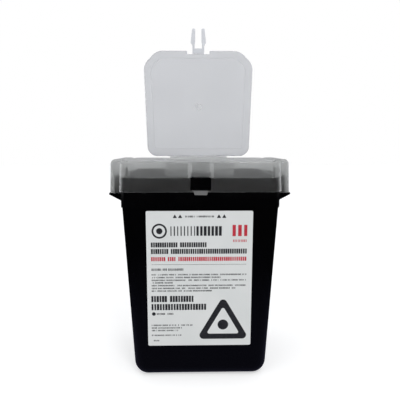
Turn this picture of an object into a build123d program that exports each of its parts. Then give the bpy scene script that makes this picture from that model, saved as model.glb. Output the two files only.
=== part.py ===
from build123d import *
from math import cos, radians, sin, tan
import os

os.makedirs("parts", exist_ok=True)

# Sharps container: a tapered bucket, a press-on cover with a hinged flap, and a barbed
# fork on the flap that locks it shut. Millimetres, +Z up, the front faces -Y.
# The origin is the centre of the base, on the surface that the container stands on.

# ---- Bucket ----
body_height = 164.8  # base to the top of the rim
rim_width = 123.1  # outside the rim, at its top
rim_depth = 110.6
rim_wall = 1.9
corner_radius = 9.0  # upright corners of the bucket, from the shoulder up
base_corner_radius = 12.0  # the same corners at the base
shoulder_drop = 23.5  # rim to the small step, below which the wall leans in
shoulder_step = 0.7
body_draft = 2.93  # degrees that each wall leans
body_wall = 1.8
floor_thickness = 2.2
base_edge_radius = 11.0  # less than the base corners' radius
foot_width = 9.0  # the ring that touches the table
foot_height = 1.0

# ---- Side ledges and rim lugs of the bucket ----
ledge_length = 70.0
ledge_reach = 11.95  # beyond the band under the rim
ledge_drop = 13.9  # rim to the top of the ledges
ledge_thickness = 1.4
ledge_rib_height = 6.8
ledge_rib_thickness = 1.6
ledge_rib_count = 5
lug_length = 51.0
lug_reach = 9.6
lug_wall = 1.6
lug_radius = 3.0

# ---- Cover ----
deck_rise = 12.5  # rim to the top of the deck
skirt_drop = 11.0  # rim to the bottom of the skirt
cover_wall = 1.2
deck_thickness = 1.6
cover_draft = 3.3
cover_gap = 0.25  # between the skirt and the rim
cover_edge_radius = 1.2
seat_gap = 0.05  # under the stop ribs, and under the ears
stop_rib_thickness = 1.8
stop_rib_length = 4.5
stop_rib_inset = 5.6  # in from the rim's corners

# ---- Cover ears, one over each side ledge ----
ear_length = 68.0
ear_rise = 0.8  # above the deck
ear_wall = 1.3
ear_draft = 1.6
ear_overlap = 1.2  # how far an ear's top runs onto the deck
ear_side_gap = 0.6  # between a lug and the inside of an ear
ear_top_radius = 4.0
ear_corner_radius = 6.0

# ---- Throat ----
throat_width = 56.0
throat_depth = 46.0
throat_radius = 12.0
throat_y = -5.0
collar_length = 13.5  # below the deck's top
collar_wall = 1.2
bead_height = 0.7
bead_width = 1.6

# ---- Flap ----
hinge_from_back = 14.4  # hinge axis in front of the deck's back edge
hinge_rise = 1.2  # hinge axis and closed flap's underside above the deck
hinge_width = 55.0
hinge_radius = 0.3
hinge_land_front = 1.6
hinge_land_back = 0.5
flap_side_margin = 10.25  # to the deck's side, at the flap's widest place
flap_taper = 2.9  # how much narrower each side is at the hinge
flap_gap = 0.6  # from the hinge axis to the flap's edge
flap_thickness = 1.6
flap_bevel = 1.2
flap_corner = 12.6
flap_corner_blend = 13.0
flap_hinge_corner_radius = 9.5
flap_rim_inset = 6.0
flap_rim_width = 1.2
flap_rim_height = 1.0
gate_from_hinge = 47.5
gate_radius = 3.2
gate_height = 0.4
gate_tip_radius = 0.9
gate_tip_height = 0.7

# ---- Locking fork ----
fork_thickness = 1.6
fork_rim_gap = 0.6  # between the folded fork and the rim behind it
notch_width = 21.3
notch_depth = 2.8
neck_width = 11.2
neck_gap = 0.4  # from the fold axis to the neck's edge
fold_radius = 0.25
neck_length = 5.0  # fold axis to the bottom of the fork's slot
prong_gap = 0.15  # between the neck and a prong's round foot
arm_width = 2.1
arm_end = 7.5
barb_height = 10.6
barb_reach = 1.7  # beyond the neck's side
blade_start = 11.4
blade_inner = 2.95  # half of the gap between the blades
fork_length = 23.2
tip_outer = 5.9
tip_radius = 1.3

# ---- Keeper for the fork, on the cover's front ----
keeper_gap = 1.0  # each side of the neck
keeper_floor_gap = 0.2  # behind the folded neck
keeper_back_wall = 1.2
rail_width = 3.2
rail_height = 1.6
rail_length = 12.5
window_gap = 0.6  # each side of the barbs
window_drop = 7.8  # deck to the top of the window
window_tip_gap = 0.3  # under the prongs' tips
tab_width = 11.8
tab_end_width = 9.4
tab_drop = 2.0
tab_thickness = 1.8

# ---- Label ----
label_side_margin = 12.85  # to the sides of the base
label_drop = 25.6  # rim to the top of the label
label_base_margin = 28.1  # base to the bottom of the label
label_offset = -0.9  # along the wall, from its middle
label_thickness = 0.2
label_radius = 1.2

# ---- Worked out from the above ----
shoulder_height = body_height - shoulder_drop
ledge_top = body_height - ledge_drop
cover_top = body_height + deck_rise
skirt_bottom = body_height - skirt_drop
skirt_spread = tan(radians(cover_draft))
rim_foot_width = rim_width + 2 * skirt_drop * skirt_spread
rim_foot_depth = rim_depth + 2 * skirt_drop * skirt_spread
shoulder_width = rim_foot_width - 2 * shoulder_step
shoulder_depth = rim_foot_depth - 2 * shoulder_step
base_width = shoulder_width - 2 * shoulder_height * tan(radians(body_draft))
base_depth = shoulder_depth - 2 * shoulder_height * tan(radians(body_draft))
skirt_side = cover_wall + cover_gap
skirt_width = rim_foot_width + 2 * skirt_side
skirt_depth = rim_foot_depth + 2 * skirt_side
deck_width = skirt_width - 2 * (cover_top - skirt_bottom) * skirt_spread
deck_depth = skirt_depth - 2 * (cover_top - skirt_bottom) * skirt_spread
lug_half = rim_foot_width / 2 + lug_reach
ear_half = lug_half + ear_side_gap + ear_wall
ear_top = cover_top + ear_rise
ear_bottom = ledge_top + seat_gap
ledge_half = rim_foot_width / 2 + ledge_reach
hinge_y = deck_depth / 2 - hinge_from_back
hinge_z = cover_top + hinge_rise
relief_y = -(rim_depth / 2 - 0.3)
fold_y = relief_y - fork_rim_gap
fold_height = hinge_y - fold_y
flap_length = fold_height + notch_depth
barb_half = neck_width / 2 + barb_reach
keeper_half = neck_width / 2 + keeper_gap
window_half = barb_half + window_gap
window_top = cover_top - window_drop
window_bottom = hinge_z - fork_length - window_tip_gap


# The space inside the bucket, from the floor to the shoulder, with a rounded bottom.
inner_step = 2 * body_wall
inner_radius = corner_radius - body_wall
floor_inset = 2 * floor_thickness * tan(radians(body_draft))
with BuildPart() as body_hollow:
    with BuildSketch(Plane.XY.offset(floor_thickness)):
        RectangleRounded(
            base_width + floor_inset - inner_step,
            base_depth + floor_inset - inner_step,
            base_corner_radius - body_wall,
        )
    with BuildSketch(Plane.XY.offset(shoulder_height)):
        RectangleRounded(shoulder_width - inner_step, shoulder_depth - inner_step, inner_radius)
    loft()
    fillet(body_hollow.edges().group_by(Axis.Z)[0], base_edge_radius - body_wall)


# The bucket: one black moulding, with a floor, four leaning walls, a straight band
# and rim that the cover fits over, and a ribbed ledge and lug on each side.
with BuildPart() as container_body:
    with BuildSketch(Plane.XY):
        RectangleRounded(base_width, base_depth, base_corner_radius)
    with BuildSketch(Plane.XY.offset(shoulder_height)):
        RectangleRounded(shoulder_width, shoulder_depth, corner_radius)
    loft()
    fillet(container_body.edges().group_by(Axis.Z)[0], base_edge_radius)
    with BuildSketch(Plane.XY.offset(shoulder_height)):
        RectangleRounded(rim_foot_width, rim_foot_depth, corner_radius)
    extrude(amount=skirt_bottom - shoulder_height)
    with BuildSketch(Plane.XY.offset(skirt_bottom)):
        RectangleRounded(rim_foot_width, rim_foot_depth, corner_radius)
    extrude(amount=body_height - skirt_bottom, taper=cover_draft)
    with BuildSketch(Plane.XY.offset(ledge_top)):
        RectangleRounded(2 * lug_half, lug_length, lug_radius)
    extrude(amount=body_height - ledge_top)
    with BuildSketch(Plane.XY.offset(ledge_top)):
        RectangleRounded(2 * ledge_half, ledge_length, lug_radius)
    extrude(amount=-ledge_thickness)
    rib_pitch = (ledge_length - 2 * lug_radius - ledge_rib_thickness) / (ledge_rib_count - 1)
    rib_root = rim_foot_width / 2 - body_wall / 2
    rib_top = ledge_top - ledge_thickness
    for rib in range(ledge_rib_count):
        rib_y = (rib - (ledge_rib_count - 1) / 2) * rib_pitch
        for side in (-1, 1):
            with BuildSketch(Plane.XZ.offset(-rib_y)):
                with BuildLine():
                    Polyline(
                        (side * rib_root, rib_top),
                        (side * ledge_half, rib_top),
                        (side * rib_root, rib_top - ledge_rib_height),
                        close=True,
                    )
                make_face()
            extrude(amount=ledge_rib_thickness / 2, both=True)
    add(body_hollow.part, mode=Mode.SUBTRACT)
    with BuildSketch(Plane.XY.offset(shoulder_height)):
        RectangleRounded(
            rim_width - 2 * rim_wall, rim_depth - 2 * rim_wall, corner_radius - rim_wall
        )
    extrude(amount=body_height - shoulder_height, mode=Mode.SUBTRACT)
    pocket_start = rim_foot_width / 2 - 0.2
    pocket_end = lug_half - lug_wall
    with BuildSketch(Plane.XY.offset(ledge_top)):
        with Locations(
            ((pocket_start + pocket_end) / 2, 0),
            (-(pocket_start + pocket_end) / 2, 0),
        ):
            RectangleRounded(
                pocket_end - pocket_start, lug_length - 2 * lug_wall, lug_radius - lug_wall
            )
    extrude(amount=body_height - ledge_top, mode=Mode.SUBTRACT)
    with BuildSketch(Plane.XY.offset(skirt_bottom)):
        with Locations((0, relief_y)):
            Rectangle(2 * window_half, rim_depth / 8, align=(Align.CENTER, Align.MAX))
    extrude(amount=body_height - skirt_bottom, mode=Mode.SUBTRACT)
    with BuildSketch(Plane.XY):
        RectangleRounded(
            base_width - 2 * base_edge_radius - foot_width,
            base_depth - 2 * base_edge_radius - foot_width,
            corner_radius,
        )
    extrude(amount=foot_height, mode=Mode.SUBTRACT)
container_body.part.label = "container_body"
export_step(container_body.part, "parts/container_body.step")


# The cover: a translucent cap with a deep skirt. Its ears drop over the bucket's lugs
# and end just above the ledges.
with BuildPart() as cover:
    with BuildSketch(Plane.XY.offset(skirt_bottom)):
        RectangleRounded(skirt_width, skirt_depth, corner_radius + skirt_side)
    extrude(amount=cover_top - skirt_bottom, taper=cover_draft)
    fillet(cover.edges().group_by(Axis.Z)[-1], cover_edge_radius)
    ear_shift = (ear_top - ear_bottom) * tan(radians(ear_draft))
    ear_inner = deck_width / 2 - ear_overlap - ear_shift
    for side in (-1, 1):
        with BuildSketch(Plane.XY.offset(ear_bottom)):
            with Locations((side * (ear_inner + ear_half) / 2, 0)):
                RectangleRounded(ear_half - ear_inner, ear_length, ear_corner_radius)
        extrude(amount=ear_top - ear_bottom, taper=ear_draft)
    ear_rims = cover.edges().group_by(Axis.Z)[-1]
    fillet(ear_rims.filter_by(Axis.Y).group_by(Axis.X)[0], ear_top_radius)
    ear_rims = cover.edges().group_by(Axis.Z)[-1]
    fillet(ear_rims.filter_by(Axis.Y).group_by(Axis.X)[-1], ear_top_radius)
    with BuildSketch(Plane.XY.offset(skirt_bottom)):
        RectangleRounded(
            skirt_width - 2 * cover_wall, skirt_depth - 2 * cover_wall, corner_radius + cover_gap
        )
    extrude(amount=cover_top - deck_thickness - skirt_bottom, taper=cover_draft, mode=Mode.SUBTRACT)
    for side in (-1, 1):
        with BuildSketch(Plane.XY.offset(ear_bottom)):
            with Locations((side * (ear_inner + ear_half) / 2 - side * cover_wall, 0)):
                RectangleRounded(
                    ear_half - ear_inner - 2 * ear_wall + 2 * cover_wall,
                    ear_length - 2 * ear_wall,
                    ear_corner_radius - ear_wall,
                )
        extrude(amount=ear_top - deck_thickness - ear_bottom, taper=ear_draft, mode=Mode.SUBTRACT)
    # Stop ribs under the deck, which stand on the rim near its corners.
    stop_height = cover_top - deck_thickness - body_height - seat_gap
    stop_x = rim_width / 2 - stop_rib_inset
    stop_y = rim_depth / 2 + cover_gap - stop_rib_length / 2
    with BuildSketch(Plane.XY.offset(body_height + seat_gap)):
        for x in (-stop_x, stop_x):
            for y in (-stop_y, stop_y):
                with Locations((x, y)):
                    Rectangle(stop_rib_thickness, stop_rib_length)
    extrude(amount=stop_height + deck_thickness / 2)
    # Throat: a collar that hangs into the bucket, and a low bead round its mouth.
    with BuildSketch(Plane.XY.offset(cover_top - deck_thickness / 2)):
        with Locations((0, throat_y)):
            RectangleRounded(
                throat_width + 2 * collar_wall, throat_depth + 2 * collar_wall,
                throat_radius + collar_wall,
            )
    extrude(amount=deck_thickness / 2 - collar_length)
    with BuildSketch(Plane.XY.offset(cover_top)):
        with Locations((0, throat_y)):
            RectangleRounded(
                throat_width + 2 * bead_width, throat_depth + 2 * bead_width,
                throat_radius + bead_width,
            )
    extrude(amount=bead_height)
    with BuildSketch(Plane.XY.offset(cover_top + bead_height)):
        with Locations((0, throat_y)):
            RectangleRounded(throat_width, throat_depth, throat_radius)
    extrude(amount=-collar_length - bead_height, mode=Mode.SUBTRACT)
    # Land that carries the flap's hinge.
    with BuildSketch(Plane.XY.offset(cover_top)):
        with Locations((0, hinge_y + (hinge_land_back - hinge_land_front) / 2)):
            Rectangle(hinge_width, hinge_land_back + hinge_land_front)
    extrude(amount=hinge_rise - hinge_radius)
    # Keeper for the fork: two rails, a shallow throat between them, and a window below.
    keeper_floor = fold_y + keeper_floor_gap
    keeper_back = keeper_floor + keeper_back_wall
    with BuildSketch(Plane.XY.offset(window_top)):
        with Locations((0, keeper_back)):
            Rectangle(
                2 * (keeper_half + rail_width), keeper_back + deck_depth / 2,
                align=(Align.CENTER, Align.MAX),
            )
    extrude(amount=cover_top - deck_thickness / 2 - window_top)
    rail_plane = Plane.XZ.offset(deck_depth / 2 + rail_height)
    rail_center = keeper_half + rail_width / 2
    with BuildSketch(rail_plane):
        for side in (-1, 1):
            with Locations((side * rail_center, cover_top - rail_length / 2)):
                Rectangle(rail_width, rail_length)
    extrude(amount=-rail_height - cover_wall)
    with BuildSketch(rail_plane):
        with Locations((0, cover_top)):
            Rectangle(
                2 * keeper_half, cover_top - window_top, align=(Align.CENTER, Align.MAX)
            )
    extrude(amount=-(deck_depth / 2 + rail_height + keeper_floor), mode=Mode.SUBTRACT)
    # Tab under the window, to lift the cover by.
    tab_front = skirt_depth / 2 + tab_thickness - cover_wall
    with BuildSketch(Plane.XZ.offset(tab_front)):
        with BuildLine():
            Polyline(
                (-tab_width / 2, window_bottom + 0.6),
                (tab_width / 2, window_bottom + 0.6),
                (tab_end_width / 2, skirt_bottom - tab_drop),
                (-tab_end_width / 2, skirt_bottom - tab_drop),
                close=True,
            )
        make_face()
    extrude(amount=-tab_thickness)
    with BuildSketch(Plane.XZ.offset(tab_front + 2)):
        with Locations((0, window_bottom)):
            Rectangle(
                2 * window_half, window_top - window_bottom, align=(Align.CENTER, Align.MIN)
            )
    extrude(amount=-(tab_front + 2 + relief_y), mode=Mode.SUBTRACT)
cover.part.label = "cover"
export_step(cover.part, "parts/cover.step")


# The film that the flap turns on, moulded along the hinge axis.
with BuildPart() as flap_hinge:
    with BuildSketch(Plane.YZ.offset(-hinge_width / 2)):
        with Locations((hinge_y, hinge_z)):
            Circle(hinge_radius)
    extrude(amount=hinge_width)
flap_hinge.part.label = "flap_hinge"
export_step(flap_hinge.part, "parts/flap_hinge.step")


# The flap, standing upright on its hinge. Its underside faces the front, with a low
# rim inside its edge, and the gate's nub. The fork leaves from the notch at the top.
flap_half = deck_width / 2 - flap_side_margin
flap_hinge_half = flap_half - flap_taper
flap_plane = Plane.XZ.offset(-hinge_y)
with BuildPart() as flap:
    with BuildSketch(flap_plane) as flap_outline:
        with BuildLine():
            Polyline(
                (-flap_hinge_half, hinge_z + flap_gap),
                (flap_hinge_half, hinge_z + flap_gap),
                (flap_half, hinge_z + flap_length - flap_corner),
                (flap_half - flap_corner, hinge_z + flap_length),
                (-flap_half + flap_corner, hinge_z + flap_length),
                (-flap_half, hinge_z + flap_length - flap_corner),
                close=True,
            )
        make_face()
        hinge_corners = flap_outline.vertices().group_by(Axis.Y)[0]
        fillet(hinge_corners, flap_hinge_corner_radius)
        upper_corners = flap_outline.vertices().group_by(Axis.Y)[-2:]
        fillet(upper_corners[0] + upper_corners[1], flap_corner_blend)
    extrude(amount=-flap_thickness)
    back_edges = flap.edges().group_by(Axis.Y)[-1]
    chamfer(back_edges.group_by(Axis.Z)[0], flap_bevel)
    with BuildSketch(flap_plane):
        offset(flap_outline.sketch_local, amount=-flap_rim_inset)
        offset(
            flap_outline.sketch_local,
            amount=-flap_rim_inset - flap_rim_width,
            mode=Mode.SUBTRACT,
        )
    extrude(amount=flap_rim_height)
    with BuildSketch(flap_plane):
        with Locations((0, hinge_z + gate_from_hinge)):
            Circle(gate_radius)
    extrude(amount=gate_height)
    with BuildSketch(flap_plane):
        with Locations((0, hinge_z + gate_from_hinge)):
            Circle(gate_tip_radius)
    extrude(amount=gate_tip_height)
    with BuildSketch(flap_plane.offset(flap_rim_height)):
        with Locations((0, hinge_z + fold_height - fold_radius)):
            Rectangle(notch_width, 2 * notch_depth, align=(Align.CENTER, Align.MIN))
    extrude(amount=-flap_rim_height - flap_thickness, mode=Mode.SUBTRACT)
flap.part.label = "flap"
export_step(flap.part, "parts/flap.step")


# The film that the fork folds on, at the foot of the notch.
fold_z = hinge_z + fold_height
with BuildPart() as latch_hinge:
    with BuildSketch(Plane.YZ.offset(-neck_width / 2)):
        with Locations((hinge_y, fold_z)):
            Circle(fold_radius)
    extrude(amount=neck_width)
latch_hinge.part.label = "latch_hinge"
export_step(latch_hinge.part, "parts/latch_hinge.step")


# The fork's neck, a short strip between the fold and the slot, hollowed out for the
# round feet of the prongs.
prong_x = (neck_width - arm_width) / 2
with BuildPart() as latch_neck:
    with BuildSketch(flap_plane):
        with Locations((0, fold_z + neck_gap)):
            Rectangle(neck_width, neck_length - neck_gap, align=(Align.CENTER, Align.MIN))
        with Locations((-prong_x, fold_z + neck_length), (prong_x, fold_z + neck_length)):
            Circle(arm_width / 2 + prong_gap, mode=Mode.SUBTRACT)
    extrude(amount=-fork_thickness)
latch_neck.part.label = "latch_neck"
export_step(latch_neck.part, "parts/latch_neck.step")


# The two prongs: a round foot that they flex about, a slim arm, a barb, and a blade
# with a rounded tip.
for side, prong_name in ((-1, "latch_prong_left"), (1, "latch_prong_right")):
    with BuildPart() as latch_prong:
        with BuildSketch(flap_plane) as prong_outline:
            with BuildLine():
                Polyline(
                    (side * neck_width / 2, fold_z + neck_length),
                    (side * neck_width / 2, fold_z + arm_end),
                    (side * barb_half, fold_z + barb_height),
                    (side * tip_outer, fold_z + fork_length),
                    (side * blade_inner, fold_z + fork_length),
                    (side * blade_inner, fold_z + blade_start),
                    (side * (neck_width / 2 - arm_width), fold_z + arm_end + arm_width / 2),
                    (side * (neck_width / 2 - arm_width), fold_z + neck_length),
                    close=True,
                )
            make_face()
            fillet(prong_outline.vertices().group_by(Axis.Y)[-1], tip_radius)
            with Locations((side * prong_x, fold_z + neck_length)):
                Circle(arm_width / 2)
        extrude(amount=-fork_thickness)
    latch_prong.part.label = prong_name
    export_step(latch_prong.part, "parts/" + prong_name + ".step")


# The label, stuck on the leaning front wall.
wall_lean = radians(body_draft)
label_width = base_width - 2 * label_side_margin
label_height = (body_height - label_drop - label_base_margin) / cos(wall_lean)
label_center = (body_height - label_drop + label_base_margin) / 2
wall_y = -base_depth / 2 - label_center * tan(wall_lean)
label_plane = Plane(
    origin=(label_offset, wall_y, label_center),
    x_dir=(1, 0, 0),
    z_dir=(0, -cos(wall_lean), -sin(wall_lean)),
)
with BuildPart() as front_label:
    with BuildSketch(label_plane):
        RectangleRounded(label_width, label_height, label_radius)
    extrude(amount=label_thickness)
front_label.part.label = "front_label"
export_step(front_label.part, "parts/front_label.step")
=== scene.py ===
import math
import bmesh
import bpy
from mathutils import Matrix, Vector


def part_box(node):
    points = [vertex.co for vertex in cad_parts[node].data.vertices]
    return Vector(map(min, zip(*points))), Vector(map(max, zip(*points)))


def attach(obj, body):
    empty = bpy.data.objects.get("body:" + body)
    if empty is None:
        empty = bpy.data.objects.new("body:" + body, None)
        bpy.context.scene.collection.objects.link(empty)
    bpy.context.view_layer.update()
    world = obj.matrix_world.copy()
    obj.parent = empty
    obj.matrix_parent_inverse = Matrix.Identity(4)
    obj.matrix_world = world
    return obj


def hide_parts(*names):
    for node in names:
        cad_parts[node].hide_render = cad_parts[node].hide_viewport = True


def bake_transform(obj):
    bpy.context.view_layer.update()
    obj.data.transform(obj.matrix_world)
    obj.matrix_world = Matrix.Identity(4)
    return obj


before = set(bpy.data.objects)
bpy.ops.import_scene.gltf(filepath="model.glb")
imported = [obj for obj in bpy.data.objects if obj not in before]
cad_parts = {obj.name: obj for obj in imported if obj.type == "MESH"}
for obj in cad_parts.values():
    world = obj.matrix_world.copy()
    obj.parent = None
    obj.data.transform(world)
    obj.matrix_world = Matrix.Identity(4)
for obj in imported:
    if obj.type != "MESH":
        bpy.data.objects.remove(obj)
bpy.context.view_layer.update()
scene = bpy.context.scene

# ======================================================================================
# THE BUCKET
# A deep tapered tub of glossy black polypropylene, injection moulded in one shot with its
# two carrying ledges, the hollow lugs under the cover's ears and the stepped rim. The tool
# was polished, so the skin is shiny, with a faint ripple and the fine scuffs of stacking.
# ======================================================================================


def new_finish(name):
    """A material with only a plain shader in its tree, and the point on the piece that patterns read."""
    finish = bpy.data.materials.new(name)
    finish.use_nodes = True
    tree = finish.node_tree
    tree.nodes.clear()
    out = tree.nodes.new("ShaderNodeOutputMaterial")
    shader = tree.nodes.new("ShaderNodeBsdfPrincipled")
    tree.links.new(shader.outputs["BSDF"], out.inputs["Surface"])
    place = tree.nodes.new("ShaderNodeTexCoord").outputs["Object"]
    return finish, tree, shader, place


def stretched(tree, place, scale, turn=(0.0, 0.0, 0.0)):
    """The same point with its axes stretched, so that a pattern runs along one way."""
    mapping = tree.nodes.new("ShaderNodeMapping")
    mapping.inputs["Scale"].default_value = scale
    mapping.inputs["Rotation"].default_value = turn
    tree.links.new(place, mapping.inputs["Vector"])
    return mapping.outputs["Vector"]


def cloud(tree, place, scale, detail=3.0, roughness=0.55):
    """Soft noise, from 0 to 1, with its features about 1/scale metres across."""
    noise = tree.nodes.new("ShaderNodeTexNoise")
    noise.inputs["Scale"].default_value = scale
    noise.inputs["Detail"].default_value = detail
    noise.inputs["Roughness"].default_value = roughness
    tree.links.new(place, noise.inputs["Vector"])
    return noise.outputs["Fac"]


def reranged(tree, value, from_low, from_high, to_low, to_high):
    """The value moved smoothly from one range to another and held at its ends."""
    node = tree.nodes.new("ShaderNodeMapRange")
    node.interpolation_type = "SMOOTHSTEP"
    node.inputs["From Min"].default_value = from_low
    node.inputs["From Max"].default_value = from_high
    node.inputs["To Min"].default_value = to_low
    node.inputs["To Max"].default_value = to_high
    tree.links.new(value, node.inputs["Value"])
    return node.outputs["Result"]


def added(tree, first, second, how="ADD"):
    """Two values put together."""
    node = tree.nodes.new("ShaderNodeMath")
    node.operation = how
    for socket, value in zip(node.inputs, (first, second)):
        if isinstance(value, (int, float)):
            socket.default_value = value
        else:
            tree.links.new(value, socket)
    return node.outputs["Value"]


def tinted(tree, share, low_colour, high_colour):
    """A colour between two, by a share from 0 to 1."""
    node = tree.nodes.new("ShaderNodeMix")
    node.data_type = "RGBA"
    node.inputs[6].default_value = (*low_colour, 1.0)
    node.inputs[7].default_value = (*high_colour, 1.0)
    tree.links.new(share, node.inputs[0])
    return node.outputs[2]


def relief(tree, shader, height, depth):
    """Bumps of that depth, in metres, on the shader's skin."""
    bump = tree.nodes.new("ShaderNodeBump")
    bump.inputs["Strength"].default_value = 1.0
    bump.inputs["Distance"].default_value = depth
    tree.links.new(height, bump.inputs["Height"])
    tree.links.new(bump.outputs["Normal"], shader.inputs["Normal"])


WELD_GAP = 2e-6  # m, points closer than this are one
FLAT_WITHIN = math.radians(0.6)  # faces that lean less than this against each other are one
SHARP_OVER = math.radians(32.0)  # edges that turn more than this are sharp, and get the round


def moulded_copy(node, name, edge):
    """A welded copy of a CAD node, with its sharp edges broken by a small round as a moulding's are."""
    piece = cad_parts[node].copy()
    piece.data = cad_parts[node].data.copy()
    for key in list(piece.keys()):
        del piece[key]
    piece.parent = None
    piece.name = name
    piece.data.name = name
    scene.collection.objects.link(piece)
    mesh = bmesh.new()
    mesh.from_mesh(piece.data)
    bmesh.ops.remove_doubles(mesh, verts=mesh.verts, dist=WELD_GAP)
    bmesh.ops.dissolve_limit(
        mesh, angle_limit=FLAT_WITHIN, verts=mesh.verts, edges=mesh.edges, delimit={"NORMAL"}
    )
    mesh.to_mesh(piece.data)
    mesh.free()
    attribute = piece.data.attributes.get("custom_normal")
    if attribute is not None:
        piece.data.attributes.remove(attribute)
    piece.data.shade_smooth()
    piece.data.set_sharp_from_angle(angle=SHARP_OVER)
    if edge > 0:
        rounding = piece.modifiers.new("edge round", "BEVEL")
        rounding.width = edge
        rounding.segments = 2
        rounding.limit_method = "ANGLE"
        rounding.angle_limit = SHARP_OVER
        rounding.use_clamp_overlap = True
        rounding.harden_normals = True
    return piece


NOISE_SPREAD = (0.3, 0.7)  # most of a cloud's values lie between these
BUCKET_EDGE_ROUND = 0.00025  # m, the broken edge of the rim, ledges and lugs
POLISHED_BLACK = (0.0006, 0.0006, 0.0008)
SCUFFED_BLACK = (0.0022, 0.0022, 0.0026)
POLISHED_ROUGHNESS = (0.10, 0.16)
SCUFF_ROUGHNESS = 0.16  # more than the polished skin
SCUFFED_ABOVE = (0.60, 0.78)  # only the peaks of the rub marks show
RIPPLE_DEPTH = 0.00010  # m

black_polypropylene, tree, shader, place = new_finish("black_polypropylene")
ripple = cloud(tree, place, 38.0, 2.0, 0.45)
orange_peel = cloud(tree, place, 900.0, 2.0, 0.5)
rub_marks = cloud(tree, stretched(tree, place, (60.0, 60.0, 900.0), (0.0, 0.5, 0.0)), 1.0, 4.0, 0.7)
scuffs = reranged(tree, rub_marks, *SCUFFED_ABOVE, 0.0, 1.0)
gloss = reranged(tree, ripple, *NOISE_SPREAD, *POLISHED_ROUGHNESS)
dulled = added(tree, scuffs, SCUFF_ROUGHNESS, "MULTIPLY")
tree.links.new(added(tree, gloss, dulled), shader.inputs["Roughness"])
tree.links.new(tinted(tree, scuffs, POLISHED_BLACK, SCUFFED_BLACK), shader.inputs["Base Color"])
shader.inputs["IOR"].default_value = 1.45
relief(tree, shader, added(tree, ripple, added(tree, orange_peel, 0.02, "MULTIPLY")), RIPPLE_DEPTH)

bucket = moulded_copy("container_body", "bucket_moulding", BUCKET_EDGE_ROUND)
bucket.data.materials.clear()
bucket.data.materials.append(black_polypropylene)
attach(bucket, "bucket")
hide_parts("container_body")

# ======================================================================================
# THE LABEL
# A die-cut sheet of semi-matt white film with rounded corners, pressed on to the leaning
# front wall by its own adhesive. It is offset printed in black and red ink.
# ======================================================================================

label_low, label_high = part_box("front_label")
LABEL_LEAN = math.radians(2.93)  # the front wall leans out this much from base to shoulder
FILM_SHADED = (0.71, 0.73, 0.72)
FILM_WHITE = (0.76, 0.77, 0.76)
FIBRE_DEPTH = 0.00002  # m

label_film, tree, shader, place = new_finish("label_film")
fibres = cloud(tree, place, 1400.0, 3.0, 0.6)
shade = cloud(tree, place, 30.0, 2.0, 0.5)
whiter = reranged(tree, shade, *NOISE_SPREAD, 0.0, 1.0)
tree.links.new(tinted(tree, whiter, FILM_SHADED, FILM_WHITE), shader.inputs["Base Color"])
tree.links.new(reranged(tree, fibres, *NOISE_SPREAD, 0.55, 0.65), shader.inputs["Roughness"])
relief(tree, shader, fibres, FIBRE_DEPTH)
label_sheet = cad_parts["front_label"]
for film_slot in label_sheet.material_slots:
    film_slot.material = label_film

# --------------------------------------------------------------------------------------
# The print on the label
# Two inks laid on the film, each a few hundredths of a millimetre thick. The lines of
# small print are plain strokes that stand for text, and the marks are plain shapes.
# --------------------------------------------------------------------------------------


def ink_finish(name, thin, dense):
    """An ink with the slightly uneven density of a printed solid, and a low sheen."""
    finish, tree, shader, place = new_finish(name)
    density = reranged(tree, cloud(tree, place, 600.0, 3.0, 0.6), *NOISE_SPREAD, 0.0, 1.0)
    tree.links.new(tinted(tree, density, thin, dense), shader.inputs["Base Color"])
    tree.links.new(reranged(tree, density, 0.0, 1.0, 0.5, 0.38), shader.inputs["Roughness"])
    return finish


black_ink = ink_finish("black_ink", (0.028, 0.028, 0.033), (0.012, 0.012, 0.016))
red_ink = ink_finish("red_ink", (0.62, 0.035, 0.06), (0.48, 0.015, 0.035))
INK_THICKNESS = 0.00004  # m


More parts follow.
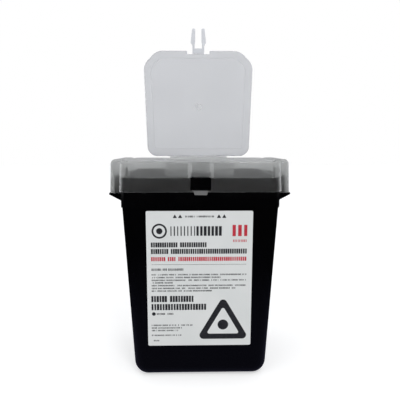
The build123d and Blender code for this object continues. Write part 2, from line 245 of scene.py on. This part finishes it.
def stroke_row_tree():
    """Geometry Nodes: a row of upright strokes of uneven width, with gaps, as a line of print looks."""
    group = bpy.data.node_groups.new("printed_strokes", "GeometryNodeTree")
    group.interface.new_socket("Geometry", in_out="INPUT", socket_type="NodeSocketGeometry")
    for name, kind in (
        ("Row length", "NodeSocketFloat"),
        ("Strokes", "NodeSocketInt"),
        ("Stroke height", "NodeSocketFloat"),
        ("Thinnest stroke", "NodeSocketFloat"),
        ("Widest stroke", "NodeSocketFloat"),
        ("Ink thickness", "NodeSocketFloat"),
        ("Share inked", "NodeSocketFloat"),
        ("Seed", "NodeSocketInt"),
        ("Ink", "NodeSocketMaterial"),
    ):
        group.interface.new_socket(name, in_out="INPUT", socket_type=kind)
    group.interface.new_socket("Geometry", in_out="OUTPUT", socket_type="NodeSocketGeometry")
    link = group.links.new
    given = group.nodes.new("NodeGroupInput").outputs
    row = group.nodes.new("GeometryNodeMeshGrid")
    row.inputs["Size Y"].default_value = 0.0
    row.inputs["Vertices Y"].default_value = 1
    link(given["Row length"], row.inputs["Size X"])
    link(given["Strokes"], row.inputs["Vertices X"])
    width = group.nodes.new("FunctionNodeRandomValue")
    width.data_type = "FLOAT"
    link(given["Thinnest stroke"], width.inputs[2])
    link(given["Widest stroke"], width.inputs[3])
    link(given["Seed"], width.inputs["Seed"])
    kept = group.nodes.new("FunctionNodeRandomValue")
    kept.data_type = "BOOLEAN"
    link(given["Share inked"], kept.inputs["Probability"])
    link(given["Seed"], kept.inputs["Seed"])
    size = group.nodes.new("ShaderNodeCombineXYZ")
    link(width.outputs[1], size.inputs["X"])
    link(given["Stroke height"], size.inputs["Y"])
    link(given["Ink thickness"], size.inputs["Z"])
    stroke = group.nodes.new("GeometryNodeMeshCube")
    stroke.inputs["Size"].default_value = (1.0, 1.0, 1.0)
    placed = group.nodes.new("GeometryNodeInstanceOnPoints")
    link(row.outputs["Mesh"], placed.inputs["Points"])
    link(kept.outputs[3], placed.inputs["Selection"])
    link(stroke.outputs["Mesh"], placed.inputs["Instance"])
    link(size.outputs["Vector"], placed.inputs["Scale"])
    real = group.nodes.new("GeometryNodeRealizeInstances")
    link(placed.outputs["Instances"], real.inputs["Geometry"])
    inked = group.nodes.new("GeometryNodeSetMaterial")
    link(real.outputs["Geometry"], inked.inputs["Geometry"])
    link(given["Ink"], inked.inputs["Material"])
    link(inked.outputs["Geometry"], group.nodes.new("NodeGroupOutput").inputs["Geometry"])
    return group


printed_strokes = stroke_row_tree()
stroke_socket = {
    item.name: item.identifier
    for item in printed_strokes.interface.items_tree
    if item.in_out == "INPUT"
}


def plain_mesh(piece):
    """The piece's mesh with its modifiers worked out; the piece itself is removed."""
    graph = bpy.context.evaluated_depsgraph_get()
    graph.update()
    mesh = bpy.data.meshes.new_from_object(piece.evaluated_get(graph), depsgraph=graph)
    bpy.data.objects.remove(piece)
    return mesh


def stroke_row(left, middle, length, height, pitch, ink_share, ink, seed, spread=(0.42, 0.78)):
    """A row of strokes in millimetres on the label: from its left edge, and down from its top edge."""
    holder = bpy.data.objects.new("stroke_row", bpy.data.meshes.new("stroke_row"))
    scene.collection.objects.link(holder)
    rows = holder.modifiers.new("strokes", "NODES")
    rows.node_group = printed_strokes
    for name, value in (
        ("Row length", (length - 0.5 * pitch) / 1000),
        ("Strokes", max(2, round(length / pitch))),
        ("Stroke height", height / 1000),
        ("Thinnest stroke", spread[0] * pitch / 1000),
        ("Widest stroke", spread[1] * pitch / 1000),
        ("Ink thickness", INK_THICKNESS),
        ("Share inked", ink_share),
        ("Seed", seed),
        ("Ink", ink),
    ):
        rows[stroke_socket[name]] = value
    mesh = plain_mesh(holder)
    mesh.transform(Matrix.Translation(((left + length / 2) / 1000, -middle / 1000, INK_THICKNESS / 2)))
    return mesh


def flat_shape(rings, ink):
    """A printed shape in millimetres on the label: its outline, then a smaller one if it is hollow."""
    mesh = bmesh.new()
    front = [[mesh.verts.new((x / 1000, -y / 1000, INK_THICKNESS)) for x, y in ring] for ring in rings]
    back = [[mesh.verts.new((x / 1000, -y / 1000, 0.0)) for x, y in ring] for ring in rings]
    count = len(rings[0])
    if len(rings) == 1:
        mesh.faces.new(front[0])
        mesh.faces.new(back[0])
    for i in range(count):
        j = (i + 1) % count
        for ring in range(len(rings)):
            mesh.faces.new((front[ring][i], front[ring][j], back[ring][j], back[ring][i]))
        if len(rings) == 2:
            mesh.faces.new((front[0][i], front[0][j], front[1][j], front[1][i]))
            mesh.faces.new((back[0][i], back[0][j], back[1][j], back[1][i]))
    bmesh.ops.recalc_face_normals(mesh, faces=mesh.faces)
    data = bpy.data.meshes.new("flat_shape")
    mesh.to_mesh(data)
    mesh.free()
    data.materials.append(ink)
    return data


CORNER_STEPS = 6  # straight runs round each rounded corner


def rounded_polygon(x, y, reach, sides, corner):
    """Points round a polygon whose corners are rounded, centred on a place on the label."""
    points = []
    inner = reach - corner / math.cos(math.pi / sides)
    for side in range(sides):
        middle = math.radians(90.0) + side * 2 * math.pi / sides
        for step in range(CORNER_STEPS + 1):
            angle = middle + (step / CORNER_STEPS - 0.5) * 2 * math.pi / sides
            points.append((
                x + inner * math.cos(middle) + corner * math.cos(angle),
                y - inner * math.sin(middle) - corner * math.sin(angle),
            ))
    return points


def bar(left, middle, length, height):
    """The corners of a plain bar."""
    return [
        (left, middle - height / 2), (left + length, middle - height / 2),
        (left + length, middle + height / 2), (left, middle + height / 2),
    ]


def print_on_label(name, meshes, ink):
    """Joins the shapes of one ink and lays them on the front of the film."""
    joined = bmesh.new()
    for mesh in meshes:
        joined.from_mesh(mesh)
        bpy.data.meshes.remove(mesh)
    lean, turn = math.sin(LABEL_LEAN), math.cos(LABEL_LEAN)
    data = bpy.data.meshes.new(name)
    joined.to_mesh(data)
    joined.free()
    to_wall = Matrix((
        (1, 0, 0, label_low.x),
        (0, -lean, -turn, label_low.y),
        (0, turn, -lean, label_high.z),
        (0, 0, 0, 1),
    ))
    data.transform(to_wall)
    data.materials.clear()
    data.materials.append(ink)
    data.update()
    piece = bpy.data.objects.new(name, data)
    scene.collection.objects.link(piece)
    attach(piece, "bucket")


SMALL_PRINT = (1.15, 0.72)  # mm, the height and the pitch of the strokes
LARGE_PRINT = (5.1, 2.1)  # mm
HEAVY = (0.62, 0.9)  # the thinnest and the widest stroke, as shares of the pitch

# Places on the label in mm: from its left edge, and down from its top edge
black_print = []
# Fill level marks across the top
for x in (22.3, 26.4, 56.4, 60.5):
    black_print.append(flat_shape([rounded_polygon(x, 4.6, 1.9, 3, 0.25)], black_ink))
black_print.append(stroke_row(29.8, 4.4, 22.6, 1.4, 0.62, 0.88, black_ink, 3))
# Round mark, and a wide title beside it
ring = [rounded_polygon(10.2, 15.9, 6.4, 8, 5.4), rounded_polygon(10.2, 15.9, 4.9, 8, 4.2)]
black_print.append(flat_shape(ring, black_ink))
black_print.append(flat_shape([rounded_polygon(10.2, 15.9, 2.6, 8, 2.2)], black_ink))
black_print.append(stroke_row(18.6, 15.9, 19.6, 7.6, 2.6, 1.0, black_ink, 5, (0.25, 0.35)))
black_print.append(stroke_row(39.2, 15.9, 19.0, 7.6, 2.7, 1.0, black_ink, 8, (0.6, 0.82)))
# Two heading lines in black, and the rule under the headings
black_print.append(stroke_row(3.8, 26.9, 44.6, 3.9, 1.7, 0.94, black_ink, 11, HEAVY))
black_print.append(stroke_row(3.8, 32.2, 74.4, 4.0, 1.7, 0.94, black_ink, 12, HEAVY))
black_print.append(flat_shape([bar(3.7, 42.9, 74.6, 0.22)], black_ink))
# A short subheading and seven lines of small print
black_print.append(stroke_row(3.8, 47.0, 24.8, 1.9, 0.85, 0.9, black_ink, 21))
small_lines = (
    (51.2, 74.6), (53.5, 55.0), (55.8, 74.4), (57.9, 17.0), (60.2, 74.2), (62.5, 66.0), (64.7, 48.0)
)
for line, (middle, length) in enumerate(small_lines):
    black_print.append(stroke_row(3.7, middle, length, *SMALL_PRINT, 0.84, black_ink, 31 + line))
# Two short lines of large print
black_print.append(stroke_row(3.4, 71.4, 33.0, *LARGE_PRINT, 0.96, black_ink, 41, HEAVY))
black_print.append(stroke_row(3.4, 78.2, 43.0, *LARGE_PRINT, 0.96, black_ink, 43, HEAVY))
# A dot and a short line beside it, and the lines for a date and a batch
black_print.append(flat_shape([rounded_polygon(4.9, 84.0, 1.6, 8, 1.4)], black_ink))
black_print.append(stroke_row(7.4, 84.0, 13.0, 1.5, 0.8, 0.9, black_ink, 51))
foot_lines = ((93.7, 32.6), (96.0, 24.0), (98.2, 22.5), (102.3, 23.5), (106.9, 5.6))
for line, (middle, length) in enumerate(foot_lines):
    black_print.append(stroke_row(3.1, middle, length, *SMALL_PRINT, 0.86, black_ink, 61 + line))
# Plain rounded triangle with a dot in it
triangle = [rounded_polygon(60.3, 93.5, 24.5, 3, 3.2), rounded_polygon(60.3, 93.5, 15.6, 3, 1.4)]
black_print.append(flat_shape(triangle, black_ink))
black_print.append(flat_shape([rounded_polygon(60.3, 93.5, 4.6, 8, 4.0)], black_ink))
print_on_label("label_black_print", black_print, black_ink)

red_print = [
    stroke_row(67.4, 15.6, 10.8, 9.0, 3.6, 1.0, red_ink, 71, (0.62, 0.8)),
    stroke_row(67.6, 23.8, 10.4, 2.0, 1.1, 1.0, red_ink, 72),
    stroke_row(3.7, 38.4, 74.2, 3.3, 1.6, 0.94, red_ink, 73, (0.6, 0.88)),
]
print_on_label("label_red_print", red_print, red_ink)

# ======================================================================================
# THE COVER
# A shallow lid with a square throat, a hollow ear down each side and a channel between two
# rails at its front, injection moulded in natural polypropylene. The plastic is see-through
# but hazy, with faint flow lines, and the lid presses on over the bucket's rim.
# ======================================================================================

COVER_EDGE_ROUND = 0.0002  # m
FLOW_LINE_DEPTH = 0.0001  # m


def natural_polypropylene(name, colour, milk, haze, leaving_only, smooth, rough, flow=(26.0, 26.0, 26.0)):
    """Unpigmented polypropylene: rough clear plastic, and haze that spreads a share of the light from behind.

    With leaving_only the haze counts once in each wall, where the light leaves it.
    """
    finish, tree, shader, place = new_finish(name)
    lines = cloud(tree, stretched(tree, place, flow), 1.0, 3.0, 0.5)
    grain = cloud(tree, place, 700.0, 2.0, 0.5)
    streaks = reranged(tree, lines, *NOISE_SPREAD, 0.0, 1.0)
    streaked = tinted(tree, streaks, tuple(0.94 * part for part in colour), colour)
    tree.links.new(streaked, shader.inputs["Base Color"])
    tree.links.new(reranged(tree, grain, *NOISE_SPREAD, smooth, rough), shader.inputs["Roughness"])
    shader.inputs["Transmission Weight"].default_value = 1.0 - milk
    shader.inputs["IOR"].default_value = 1.49
    relief(tree, shader, lines, FLOW_LINE_DEPTH)
    spread = tree.nodes.new("ShaderNodeBsdfTranslucent")
    spread.inputs["Color"].default_value = (*colour, 1.0)
    hazy = tree.nodes.new("ShaderNodeMixShader")
    hazy.inputs[0].default_value = haze
    if leaving_only:
        leaving = tree.nodes.new("ShaderNodeNewGeometry").outputs["Backfacing"]
        tree.links.new(added(tree, leaving, haze, "MULTIPLY"), hazy.inputs[0])
    tree.links.new(shader.outputs["BSDF"], hazy.inputs[1])
    tree.links.new(spread.outputs["BSDF"], hazy.inputs[2])
    out = next(node for node in tree.nodes if node.type == "OUTPUT_MATERIAL")
    tree.links.new(hazy.outputs["Shader"], out.inputs["Surface"])
    return finish


def moulded_piece(node, name, body, edge, finish):
    """The moulding that stands for one CAD node, in its finish, on the body it moves with."""
    piece = moulded_copy(node, name, edge)
    piece.data.materials.clear()
    piece.data.materials.append(finish)
    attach(piece, body)
    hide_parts(node)
    return piece


FLOW_DOWN_WALLS = (70.0, 70.0, 7.0)  # the flow lines are ten times as long as they are wide
cover_plastic = natural_polypropylene(
    "cover_plastic", (0.89, 0.895, 0.89), milk=0.0, haze=0.49, leaving_only=True,
    smooth=0.06, rough=0.10, flow=FLOW_DOWN_WALLS,
)
cover = moulded_piece("cover", "cover_moulding", "cover_shell", COVER_EDGE_ROUND, cover_plastic)

# The two rails beside the front channel and the tab under it get a milkier, lighter copy of the cover
# plastic, a painted highlight that makes them lighter than the channel and the skirt
RAIL_INSIDE, RAIL_OUTSIDE = 0.0070, 0.0130  # m, from the middle
RAIL_DROP = 0.0140  # m, below the tops of the ears
SKIRT_TOP_FRONT = 0.0564  # m, in front of the middle
TAB_HALF = 0.0075  # m, from the middle
TAB_RISE = 0.0055  # m, above the bottoms of the ears
TAB_FRONT = 0.0572  # m, in front of the middle
painted_highlight_plastic = natural_polypropylene(
    "painted_highlight_plastic", (0.95, 0.955, 0.95), milk=0.14, haze=0.49, leaving_only=True,
    smooth=0.06, rough=0.10, flow=FLOW_DOWN_WALLS,
)
cover_low, cover_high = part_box("cover")
cover.data.materials.append(painted_highlight_plastic)
# Faces on the fronts of the rails and the tab take the lighter copy, the painted highlight
for face in cover.data.polygons:
    middle = face.center
    on_rail = RAIL_INSIDE < abs(middle.x) < RAIL_OUTSIDE and middle.z > cover_high.z - RAIL_DROP
    on_tab = abs(middle.x) < TAB_HALF and middle.z < cover_low.z + TAB_RISE
    if (on_rail and middle.y < -SKIRT_TOP_FRONT) or (on_tab and middle.y < -TAB_FRONT):
        face.material_index = 1

# ======================================================================================
# THE FLAP
# The lid of the throat, a flat plate with clipped and rounded outer corners, a low rim round
# its underside and the cut-off stub of the moulding gate in its middle. It is moulded with
# the cover in the same plastic, and is thick and matt enough to look like frosted glass.
# ======================================================================================

FLAP_EDGE_ROUND = 0.0002  # m

flap_plastic = natural_polypropylene(
    "flap_plastic", (0.965, 0.97, 0.985), milk=0.04, haze=0.30, leaving_only=False, smooth=0.10, rough=0.14
)
flap_shader = next(node for node in flap_plastic.node_tree.nodes if node.type == "BSDF_PRINCIPLED")
flap_shader.inputs["Coat Weight"].default_value = 0.5
flap_shader.inputs["Coat Roughness"].default_value = 0.06
flap = moulded_piece("flap", "flap_moulding", "flap_plate", FLAP_EDGE_ROUND, flap_plastic)

# Plastic that was bent or torn, as at the hinges and the broken gate, is crazed and whiter. This whiter
# finish is also a painted highlight, on the gate stub and along the flap's hinge
crazed_plastic_and_painted_highlight = natural_polypropylene(
    "crazed_plastic_and_painted_highlight", (0.93, 0.93, 0.94), milk=0.6, haze=0.5, leaving_only=False, smooth=0.24, rough=0.30
)
# The whiter patch round the gate is partly torn plastic and partly a painted highlight on the gate stub
GATE_REACH = 0.0024  # m, the torn patch round the gate
GATE_RISE = 0.0475  # m, from the hinge axis to the gate
hinge_low, hinge_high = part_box("flap_hinge")
gate = Vector((0.0, hinge_low.y, (hinge_low.z + hinge_high.z) / 2 + GATE_RISE))
flap.data.materials.append(crazed_plastic_and_painted_highlight)
for face in flap.data.polygons:
    away = face.center - gate
    if math.hypot(away.x, away.z) < GATE_REACH and away.y < 0.0:
        face.material_index = 1

# --------------------------------------------------------------------------------------
# The flap's living hinge
# A strip a third of a millimetre thick that is left between the cover's land and the flap's
# edge. It is whiter than the walls, partly because the plastic crazes where it has been bent and partly as a
# painted highlight along the hinge.
# --------------------------------------------------------------------------------------

FILM_ROWS = 13  # rings of points along a film, so that it bends in a smooth curve


def living_hinge(node, name, drop, rise, root_half, waist_half, tip_depth):
    """A film across a hinge axis, with flared ends.

    Sizes are in metres: drop and rise from the axis to the film's ends, half of the thickness at the
    root and at the waist, and the whole thickness at the tip, which lies behind the axis.
    """
    low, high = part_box(node)
    axis = (low + high) / 2
    mesh = bmesh.new()
    rings = []
    for row in range(FILM_ROWS):
        along = row / (FILM_ROWS - 1)
        flare = (root_half - waist_half) * (1 - along) ** 6
        front = axis.y - waist_half * (1 - along) - flare
        back = axis.y + waist_half + flare + (tip_depth - waist_half) * along ** 3
        z = axis.z - drop + along * (drop + rise)
        rings.append([
            mesh.verts.new(corner)
            for corner in ((low.x, front, z), (high.x, front, z), (high.x, back, z), (low.x, back, z))
        ])
    for lower, upper in zip(rings, rings[1:]):
        for side in range(4):
            after = (side + 1) % 4
            mesh.faces.new((lower[side], lower[after], upper[after], upper[side]))
    mesh.faces.new(rings[0])
    mesh.faces.new(rings[-1])
    bmesh.ops.recalc_face_normals(mesh, faces=mesh.faces)
    data = bpy.data.meshes.new(name)
    mesh.to_mesh(data)
    mesh.free()
    data.shade_smooth()
    data.set_sharp_from_angle(angle=math.radians(40.0))
    # The whiter finish: crazed plastic, and a painted highlight along the hinge
    data.materials.append(crazed_plastic_and_painted_highlight)
    film = bpy.data.objects.new(name, data)
    scene.collection.objects.link(film)
    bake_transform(film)
    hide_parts(node)


living_hinge(
    "flap_hinge", "flap_hinge_film",
    drop=0.00034, rise=0.00063, root_half=0.0005, waist_half=0.00015, tip_depth=0.0005,
)

# ======================================================================================
# THE LATCH FORK
# A short neck with two barbed prongs at the flap's free edge. Folded down, the prongs are
# pinched together and spring out behind the window in the cover's skirt. It is moulded with
# the flap, and hangs from it by a second living hinge.
# ======================================================================================

fork_plastic = natural_polypropylene(
    "fork_plastic", (0.90, 0.91, 0.93), milk=0.55, haze=0.50, leaving_only=False, smooth=0.14, rough=0.20
)
living_hinge(
    "latch_hinge", "fork_hinge_film",
    drop=0.00028, rise=0.00044, root_half=0.0004, waist_half=0.00013, tip_depth=0.0005,
)
moulded_piece("latch_neck", "fork_neck", "fork", 0.0, fork_plastic)

PRONG_FOOT = 0.00105  # m, the radius of a prong's round foot
PRONG_SINK = 0.0002  # m, how far the foot's lower half runs down into the neck

for side in ("left", "right"):
    prong = moulded_copy("latch_prong_" + side, "fork_prong_" + side, 0.0)
    foot_low, foot_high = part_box("latch_prong_" + side)
    for vertex in prong.data.vertices:
        if vertex.co.z < foot_low.z + PRONG_FOOT:
            vertex.co.z -= PRONG_SINK
    prong.data.materials.clear()
    prong.data.materials.append(fork_plastic)
    middle = (foot_low + foot_high) / 2
    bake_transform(prong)
    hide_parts("latch_prong_" + side)

# ======================================================================================
# THE ROOM
# A wide pale table in a room that the camera sees as plain white. For light and reflections
# the room is bright behind and above, and dark in front and low down, so that the black walls
# stay black. Two soft lamps stand at the front.
# ======================================================================================

FLOOR_HALF = 4.0  # m
FLOOR_DULL, FLOOR_PALE = (0.63, 0.63, 0.63), (0.66, 0.66, 0.66)
FLOOR_GLOW = 0.5  # for the camera alone, so that the table is as white as the room

floor_mesh = bmesh.new()
bmesh.ops.create_grid(floor_mesh, x_segments=8, y_segments=8, size=FLOOR_HALF)
floor_data = bpy.data.meshes.new("pale_floor")
floor_mesh.to_mesh(floor_data)
floor_mesh.free()
floor = bpy.data.objects.new("pale_floor", floor_data)
scene.collection.objects.link(floor)
table_paint, tree, shader, place = new_finish("table_paint")
path = tree.nodes.new("ShaderNodeLightPath").outputs
paint = tinted(tree, cloud(tree, place, 3.0), FLOOR_DULL, FLOOR_PALE)
tree.links.new(paint, shader.inputs["Base Color"])
shader.inputs["Roughness"].default_value = 0.7
shader.inputs["Emission Color"].default_value = (1.0, 1.0, 1.0, 1.0)
glow = added(tree, path["Is Camera Ray"], FLOOR_GLOW, "MULTIPLY")
tree.links.new(glow, shader.inputs["Emission Strength"])
floor.data.materials.append(table_paint)
floor.visible_glossy = False  # reflections see the bench of the room light instead

# The room's light by direction. A band is where it changes, from its first number to its second.
BACK_TO_FRONT = (0.35, 0.0)  # bright to dark: 1 is straight to the back wall, and 0 is to the sides
LOW_BAND = (0.16, -0.02)  # bright to dark, in front only: 1 is straight up, and 0 is level
UNDER_BAND = (-0.045, -0.10)  # bright to dark, all round
BENCH_BAND = (-0.34, -0.52)  # dark to the bench, which stands in for the table in reflections
BRIGHT_WALL = (0.80, 0.81, 0.83)
DIM_WALL = (0.012, 0.012, 0.016)
BENCH = (0.10, 0.10, 0.17)
PLAIN_WHITE = (1.0, 1.0, 1.0)
MIRROR_LOSS = 0.4  # the room is weaker by this in reflections and straight through clear plastic
THROUGH_GAIN = 0.22  # and stronger by this for all light that comes through plastic, haze too

world = bpy.data.worlds.new("soft_room")
scene.world = world
world.use_nodes = True
tree = world.node_tree
tree.nodes.clear()
room_out = tree.nodes.new("ShaderNodeOutputWorld")
room_light = tree.nodes.new("ShaderNodeBackground")
tree.links.new(room_light.outputs["Background"], room_out.inputs["Surface"])
direction = tree.nodes.new("ShaderNodeSeparateXYZ")
tree.links.new(tree.nodes.new("ShaderNodeTexCoord").outputs["Generated"], direction.inputs["Vector"])
rays = tree.nodes.new("ShaderNodeLightPath")
towards_front = reranged(tree, direction.outputs["Y"], *BACK_TO_FRONT, 0.0, 1.0)
low_down = reranged(tree, direction.outputs["Z"], *LOW_BAND, 0.0, 1.0)
under = reranged(tree, direction.outputs["Z"], *UNDER_BAND, 0.0, 1.0)
dim_share = added(tree, added(tree, towards_front, low_down, "MULTIPLY"), under, "MAXIMUM")


def over_colour(tree, share, below, colour):
    """A colour laid over what is there, by a share."""
    node = tree.nodes.new("ShaderNodeMix")
    node.data_type = "RGBA"
    tree.links.new(share, node.inputs[0])
    tree.links.new(below, node.inputs[6])
    node.inputs[7].default_value = (*colour, 1.0)
    return node.outputs[2]


lit = tinted(tree, dim_share, BRIGHT_WALL, DIM_WALL)
bench = reranged(tree, direction.outputs["Z"], *BENCH_BAND, 0.0, 1.0)
lit = over_colour(tree, bench, lit, BENCH)
lit = over_colour(tree, rays.outputs["Is Camera Ray"], lit, PLAIN_WHITE)
tree.links.new(lit, room_light.inputs["Color"])
lost = added(tree, rays.outputs["Is Glossy Ray"], MIRROR_LOSS, "MULTIPLY")
mirrored = added(tree, 1.0, lost, "SUBTRACT")
through = added(tree, rays.outputs["Is Transmission Ray"], THROUGH_GAIN, "MULTIPLY")
tree.links.new(added(tree, mirrored, through), room_light.inputs["Strength"])


def soft_lamp(name, place, aim, width, height, watts):
    """A rectangular lamp at a place, turned to face a point."""
    lamp = bpy.data.lights.new(name, "AREA")
    lamp.shape = "RECTANGLE"
    lamp.size, lamp.size_y = width, height
    lamp.energy = watts
    holder = bpy.data.objects.new(name, lamp)
    scene.collection.objects.link(holder)
    holder.location = place
    holder.rotation_euler = (Vector(aim) - Vector(place)).to_track_quat("-Z", "Y").to_euler()


OBJECT_MIDDLE = (0.0, 0.0, 0.15)
MAIN_PLACE = (0.35, -1.1, 1.25)
FILL_PLACE = (-0.9, -0.9, 0.9)
soft_lamp("main_softbox", MAIN_PLACE, OBJECT_MIDDLE, width=0.35, height=0.5, watts=6.0)
soft_lamp("fill_softbox", FILL_PLACE, OBJECT_MIDDLE, width=0.8, height=0.8, watts=3.0)

CAMERA_PLACE = (-0.008, -0.3902, 0.1886)  # m, a little above the cover
CAMERA_DOWN = 6.97  # degrees
CAMERA_ASIDE = -1.27  # degrees
camera = bpy.data.cameras.new("camera")
camera.lens = 39.6
camera.sensor_width = 36.0
camera.clip_start = 0.01
camera.clip_end = 50.0
viewer = bpy.data.objects.new("camera", camera)
scene.collection.objects.link(viewer)
viewer.location = CAMERA_PLACE
viewer.rotation_euler = (math.radians(90.0 - CAMERA_DOWN), 0.0, math.radians(CAMERA_ASIDE))
scene.camera = viewer
scene.view_settings.view_transform = "Standard"
